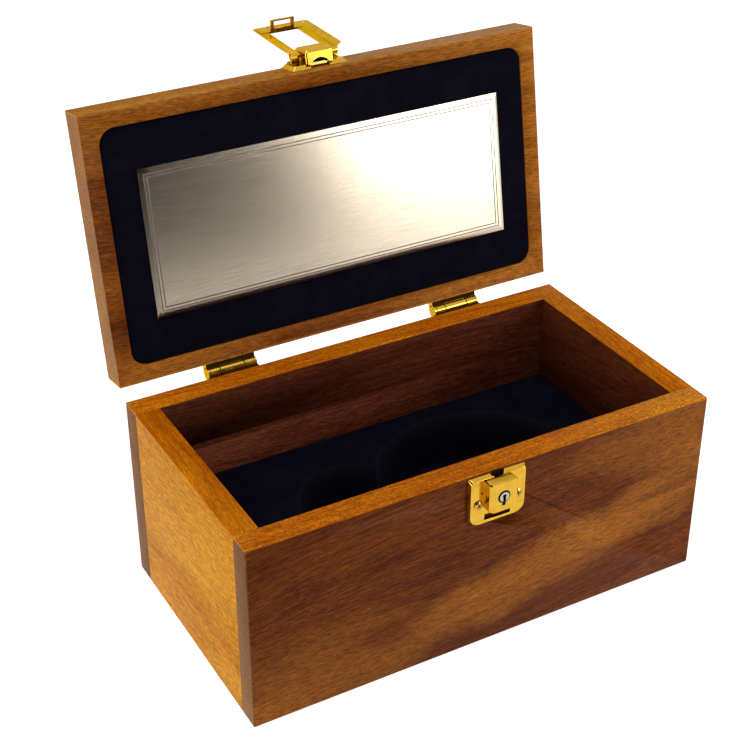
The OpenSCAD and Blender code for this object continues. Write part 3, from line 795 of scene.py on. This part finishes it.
def tightenSlope(piece, s):
    # the raised face's outline, a rectangle with round corners, is pushed out along its own normal
    points = pointsOf(piece.data)
    low, high = points.min(0), points.max(0)
    centre, half = (low + high) / 2, (high - low) / 2
    x, z = points[:, 0] - centre[0], points[:, 2] - centre[2]
    corner = np.where(z < 0, s["cornerLow"], s["cornerHigh"])
    qx = np.abs(x) - (half[0] - s["oldSlope"] - corner)
    qz = np.abs(z) - (half[2] - s["oldSlope"] - corner)
    outX, outZ = np.maximum(qx, 0), np.maximum(qz, 0)
    length = np.hypot(outX, outZ)
    away = length + np.minimum(np.maximum(qx, qz), 0) - corner
    rim = (points[:, 1] < low[1] + s["raisedDepth"]) & (np.abs(away) < s["onRim"])
    length = np.maximum(length, 1e-9)
    nx, nz = np.sign(x) * outX / length, np.sign(z) * outZ / length
    points[rim, 0] += (nx * (s["oldSlope"] - s["side"]))[rim]
    points[rim, 2] += (nz * (s["oldSlope"] - np.where(nz > 0, s["top"], s["side"])))[rim]
    setPoints(piece.data, points)


def polishedPart(node, metal, slot, body, width):
    piece = pieceFromBmesh(mergedMesh(node), node + "_polished")
    if node == "lock_plate":
        tightenSlope(piece, plateSettings)
    smoothShading(piece, roundSettings["sharp"])
    bevel = piece.modifiers.new("edge", "BEVEL")
    bevel.limit_method = "ANGLE"
    bevel.angle_limit = radians(roundSettings["sharp"])
    bevel.width = width
    bevel.segments = roundSettings["segments"]
    bevel.use_clamp_overlap = True
    bevel.harden_normals = False
    return finishPiece(piece, body, slot, metals[metal], node)


for node, values in metalSettings.items():
    polishedPart(node, *values)
print("metalwork polished")


# Plaque: a thin plate with a flat map in metres, brushed along its length

plaqueSettings = {
    "edge": 0.00012, "ease": 0.3, "core": 0.98, "perSide": 40, "smooth": 25,
    "lines": (0.0030, 0.0046), "lineWidth": 0.00050, "lineEdge": (0.35, 0.65),
    "color": (0.510, 0.440, 0.345), "dull": (0.400, 0.335, 0.250), "ink": (0.115, 0.060, 0.035),
    "brushed": (0.012, 5200.0, 3.0, 0.6), "broad": (0.05, 300.0, 3.0, 0.6), "broadShare": 0.15,
    "tone": (0.32, 0.68), "roughness": (0.215, 0.165), "inkMetal": 0.9, "inkRoughness": 0.3,
    "inkDepth": 2.0, "bump": 0.12, "bumpDepth": 0.00005,
}


def plaqueSurface(low, high, s):
    # rings of a rectangle that step in over the eased edge: each has its inset and its depth
    centre, half = (low + high) / 2, (high - low) / 2
    e, n = s["edge"], s["perSide"]
    whole = high[2] - low[2]
    steps = [(0.0, whole), (0.0, e), (e * s["ease"], e * s["ease"]), (e, 0.0), (s["lines"][0], 0.0),
             (half[1] * s["core"], 0.0)]
    side, ones = np.linspace(-1, 1, n, endpoint=False), np.ones(n)
    ringX = np.concatenate([side, ones, -side, -ones])
    ringY = np.concatenate([-ones, side, ones, -side])
    rings = [np.stack([centre[0] + ringX * (half[0] - inset), centre[1] + ringY * (half[1] - inset),
                       np.full(ringX.shape, low[2] + depth)], -1) for inset, depth in steps]
    points, faces = closedShell(rings, centre, high[2], low[2])
    return points, faces, points[:, :2] - centre[:2], half


def makePlaqueMaterial(half, s):
    # border = two rectangles set in from the edge, each where |distance - inset| is under half a line
    material, t, shader = newMaterial("plaqueMetal")
    flat = t.new("ShaderNodeUVMap")
    flat.uv_map = "flat"
    u, v, _ = t.split(flat.outputs["UV"])
    inset = t.math("MINIMUM", t.minus(half[0], t.math("ABSOLUTE", u)), t.minus(half[1], t.math("ABSOLUTE", v)))
    ink = t.fading(t.apart(inset, *s["lines"]), *(s["lineWidth"] * share for share in s["lineEdge"]))
    brushed = t.drawnNoise(flat.outputs["UV"], *s["brushed"])
    broad = t.drawnNoise(flat.outputs["UV"], *s["broad"])
    blend = t.plus(t.times(brushed, 1.0 - s["broadShare"]), t.times(broad, s["broadShare"]))
    tone = t.remap(blend, *s["tone"])
    t.join(t.mix(ink, t.mix(tone, s["dull"], s["color"]), s["ink"]), shader.inputs["Base Color"])
    t.join(t.minus(1.0, t.times(ink, s["inkMetal"])), shader.inputs["Metallic"])
    rough = t.plus(t.remap(tone, 0.0, 1.0, *s["roughness"]), t.times(ink, s["inkRoughness"]))
    t.join(rough, shader.inputs["Roughness"])
    t.bump(shader, t.minus(brushed, t.times(ink, s["inkDepth"])), s["bump"], s["bumpDepth"])
    return material


def makePlaque(s):
    points, faces, uv, half = plaqueSurface(*closedBox("plaque"), s)
    mesh = outwardMesh("plaque_plate", moved(points, lidOpening), faces)
    layer = mesh.uv_layers.new(name="flat")
    corners = np.empty(len(mesh.loops), dtype=np.int32)
    mesh.loops.foreach_get("vertex_index", corners)
    layer.data.foreach_set("uv", uv[corners].ravel())
    piece = linked("plaque_plate", mesh)
    smoothShading(piece, s["smooth"])
    return finishPiece(piece, "lid", "plaque_metal", makePlaqueMaterial(half, s), "plaque")


makePlaque(plaqueSettings)
print("plaque set")


# Lid panel: velvet stretched over card, rounded at its corners and drawn down at its edge

panelSettings = {
    "corner": 0.0077, "edge": 0.0007, "edgeSteps": 5, "rings": 14, "firstRing": 0.004, "lastRing": 0.96,
    "perCorner": 16, "perSide": 30, "smooth": 50,
}


def roundedRing(half, corner, perCorner, perSide):
    # a rectangle's outline with round corners, as offsets from its centre, anticlockwise
    x, y = [], []
    for cx, cy, start in ((1, 1, 0), (-1, 1, 90), (-1, -1, 180), (1, -1, 270)):
        a = np.radians(np.linspace(start, start + 90, perCorner))
        x.append(cx * (half[0] - corner) + corner * np.cos(a))
        y.append(cy * (half[1] - corner) + corner * np.sin(a))
    here = np.stack([np.concatenate(x), np.concatenate(y)], -1)
    step = np.roll(here, -1, axis=0) - here
    # the long sides are cut into equal steps
    counts = np.where(np.hypot(step[:, 0], step[:, 1]) > corner, perSide, 1)
    part = np.concatenate([np.linspace(0, 1, n, endpoint=False) for n in counts])
    return np.repeat(here, counts, axis=0) + np.repeat(step, counts, axis=0) * part[:, None]


def makePanel(s):
    # rings of one outline scaled towards the centre; the outer rings follow a quarter round
    low, high = closedBox("lid_panel")
    centre, half = (low + high) / 2, (high - low) / 2
    outline = roundedRing(half, s["corner"], s["perCorner"], s["perSide"])
    e = s["edge"]
    turn = np.linspace(0, pi / 2, s["edgeSteps"])
    inner = np.linspace(s["firstRing"], half[1] * s["lastRing"], s["rings"])
    insets = np.concatenate([[0.0], e * (1 - np.cos(turn)), inner])
    heights = np.concatenate([[high[2]], low[2] + e * (1 - np.sin(turn)), np.full(s["rings"], low[2])])
    rings = [np.column_stack([centre[:2] + outline * (half[:2] - inset) / half[:2], np.full(len(outline), z)])
             for inset, z in zip(insets, heights)]
    points, faces = closedShell(rings, centre, high[2], low[2])
    piece = linked("lid_velvet", outwardMesh("lid_velvet", moved(points, lidOpening), faces))
    smoothShading(piece, s["smooth"])
    return finishPiece(piece, "lid", "velvet", velvet, "lid_panel")


makePanel(panelSettings)
print("lid lined")


# Insert: one velvet block whose top dips into the nest with soft lips

insertSettings = {
    "headX": 0.033, "headLength": 0.100, "headWidth": 0.084, "footX": -0.032, "footDiameter": 0.057,
    "neckWidth": 0.030, "nestDepth": 0.028, "lip": 0.0020, "wall": 0.0016, "columns": 340, "rows": 168,
    "edge": 0.0020, "edgeDrop": 0.8, "sag": 0.0004, "sagX": 95, "sagY": 120, "lipWear": 0.0007, "lipInset": 0.0002,
    "smooth": 60,
}


def nestDistance(x, y, s):
    # signed distance to the nest's outline, negative inside: the least of an oval, a disc and a bar
    a, b = s["headLength"] / 2, s["headWidth"] / 2
    dx = x - s["headX"]
    k = np.hypot(dx / a, y / b)
    slope = np.hypot(dx / a ** 2, y / b ** 2) / np.maximum(k, 1e-6)
    head = (k - 1) / np.maximum(slope, 1e-3)
    foot = np.hypot(x - s["footX"], y) - s["footDiameter"] / 2
    middle = (s["headX"] + s["footX"]) / 2
    qx = np.abs(x - middle) - (s["headX"] - s["footX"]) / 2
    qy = np.abs(y) - s["neckWidth"] / 2
    bar = np.hypot(np.maximum(qx, 0), np.maximum(qy, 0)) + np.minimum(np.maximum(qx, qy), 0)
    return np.minimum(np.minimum(head, foot), bar)


def insertHeights(x, y, d, low, high, s):
    # height = top, less a quarter round over the lip, a steep wall to the nest's floor,
    # a round along the outer edge and a slow sag between them
    lip = s["lip"]
    into = np.clip((lip - d) / lip, 0, 1)
    fall = np.where(into < 1, lip * (1 - np.sqrt(np.maximum(1 - into ** 2, 0))), lip)
    z = high[2] - fall - (s["nestDepth"] - lip) * np.clip(-d / s["wall"], 0, 1)
    rim = np.minimum(np.minimum(x - low[0], high[0] - x), np.minimum(y - low[1], high[1] - y))
    edge = np.clip(1 - rim / s["edge"], 0, 1)
    z -= s["edge"] * (1 - np.sqrt(1 - edge ** 2)) * s["edgeDrop"]
    return z - s["sag"] * (0.5 + 0.5 * np.sin(x * s["sagX"]) * np.cos(y * s["sagY"])) * (edge == 0)


def makeInsert(s):
    # the top is a grid; a skirt goes down from its border to the base, which is a fan
    low, high = boxOf("insert")
    u = np.linspace(low[0], high[0], s["columns"])
    v = np.linspace(low[1], high[1], s["rows"])
    x, y = np.meshgrid(u, v, indexing="ij")
    d = nestDistance(x, y, s)
    top = np.stack([x, y, insertHeights(x, y, d, low, high, s)], -1).reshape(-1, 3)
    n, m = x.shape
    border = np.concatenate([np.arange(m), np.arange(1, n) * m + m - 1, (n - 1) * m + np.arange(m - 2, -1, -1),
                             np.arange(n - 2, 0, -1) * m])
    base = top[border].copy()
    base[:, 2] = low[2]
    points = np.vstack([top, base, [(low[0] + high[0]) / 2, (low[1] + high[1]) / 2, low[2]]])
    k = np.arange(len(border))
    after, start = (k + 1) % len(border), len(top)
    skirt = np.stack([border[k], border[after], start + after, start + k], -1)
    floor = np.stack([start + k, start + after, np.full(len(k), len(points) - 1)], -1)
    mesh = outwardMesh("insert_velvet", points, [*gridFaces(n, m), *skirt.tolist(), *floor.tolist()])
    worn = np.zeros(len(points))
    worn[:len(top)] = np.exp(-(((d - s["lipInset"]) / s["lipWear"]) ** 2)).ravel()
    mesh.attributes.new("lip", "FLOAT", "POINT").data.foreach_set("value", worn)
    piece = linked("insert_velvet", mesh)
    smoothShading(piece, s["smooth"])
    return finishPiece(piece, "box", "velvet", velvet, "insert")


makeInsert(insertSettings)
print("insert shaped")


# Stage: a white floor, three soft lamps, a white sky and a dark card behind the camera

stageSettings = {
    "floorHalf": 3.0, "floorDrop": 0.0002, "floorColor": (0.88, 0.88, 0.88), "floorGlow": 0.72,
    "floorGrain": (40.0, 2.0), "floorShade": 0.99, "floorRoughness": 0.95, "skyLight": 0.30,
    "card": {"y": -0.78, "left": -1.6, "right": 0.40, "high": 1.3, "color": (0.020, 0.017, 0.015)},
    "lamps": [
        {"name": "leftWindow", "place": (-1.15, 0.02, 0.20), "aim": (0.0, 0.02, 0.06), "size": (0.9, 0.34),
         "power": 8.6},
        {"name": "rightPanel", "place": (0.68, -0.80, 0.27), "aim": (0.05, 0.05, 0.14), "size": (0.42, 0.46),
         "power": 4.8},
        {"name": "above", "place": (-0.1, -0.25, 1.4), "aim": (0.0, 0.0, 0.1), "size": (0.8, 0.8),
         "power": 7.0},
    ],
}


def plainQuad(name, corners, material):
    mesh = bpy.data.meshes.new(name)
    mesh.from_pydata(corners, [], [(0, 1, 2, 3)])
    mesh.update()
    mesh.materials.append(material)
    return linked(name, mesh)


def dullMaterial(name, roughness):
    material, t, shader = newMaterial(name)
    shader.inputs["Roughness"].default_value = roughness
    shader.inputs["Specular IOR Level"].default_value = 0.0
    return material, t, shader


def seenRays(t):
    # 1 for rays that show a surface to the eye: straight, in a reflection or through glass
    rays = t.new("ShaderNodeLightPath").outputs
    return t.larger(rays["Is Camera Ray"], t.larger(rays["Is Glossy Ray"], rays["Is Transmission Ray"]))


def makeFloor(s):
    # the floor adds a plain glow for the rays that see it, so it reads white and keeps the case's shadow
    material, t, shader = dullMaterial("floor", s["floorRoughness"])
    grain = t.noise(t.place(), *s["floorGrain"])
    shaded = tuple(c * s["floorShade"] for c in s["floorColor"])
    t.join(t.mix(grain, s["floorColor"], shaded), shader.inputs["Base Color"])
    shader.inputs["Emission Color"].default_value = (1, 1, 1, 1)
    t.join(t.times(seenRays(t), s["floorGlow"]), shader.inputs["Emission Strength"])
    h, z = s["floorHalf"], -s["floorDrop"]
    return plainQuad("floor", [(-h, -h, z), (h, -h, z), (h, h, z), (-h, h, z)], material)


def makeCard(s):
    # dark surroundings for the metal to mirror, out of the camera's own sight
    material, _, shader = dullMaterial("darkCard", 1.0)
    shader.inputs["Base Color"].default_value = (*s["color"], 1)
    card = plainQuad("darkCard", [(s["left"], s["y"], 0.0), (s["left"], s["y"], s["high"]),
                                  (s["right"], s["y"], s["high"]), (s["right"], s["y"], 0.0)], material)
    card.visible_camera = False
    return card


def addLamp(s):
    data = bpy.data.lights.new(s["name"], "AREA")
    data.shape = "RECTANGLE"
    data.size, data.size_y = s["size"]
    data.energy = s["power"]
    lamp = bpy.data.objects.new(s["name"], data)
    lamp.location = s["place"]
    lamp.rotation_euler = turnTowards(s["place"], s["aim"])
    scene.collection.objects.link(lamp)


def makeSky(s):
    # white where it is seen, dimmer where it only lights
    world = bpy.data.worlds.new("sky")
    scene.world = world
    world.use_nodes = True
    t = Tree(world.node_tree)
    background = world.node_tree.nodes["Background"]
    glow = t.plus(s["skyLight"], t.times(seenRays(t), 1.0 - s["skyLight"]))
    t.join(glow, background.inputs["Strength"])
    background.inputs["Color"].default_value = (1, 1, 1, 1)


floor, card = makeFloor(stageSettings), makeCard(stageSettings["card"])
for lamp in stageSettings["lamps"]:
    addLamp(lamp)
makeSky(stageSettings)
print("stage lit")
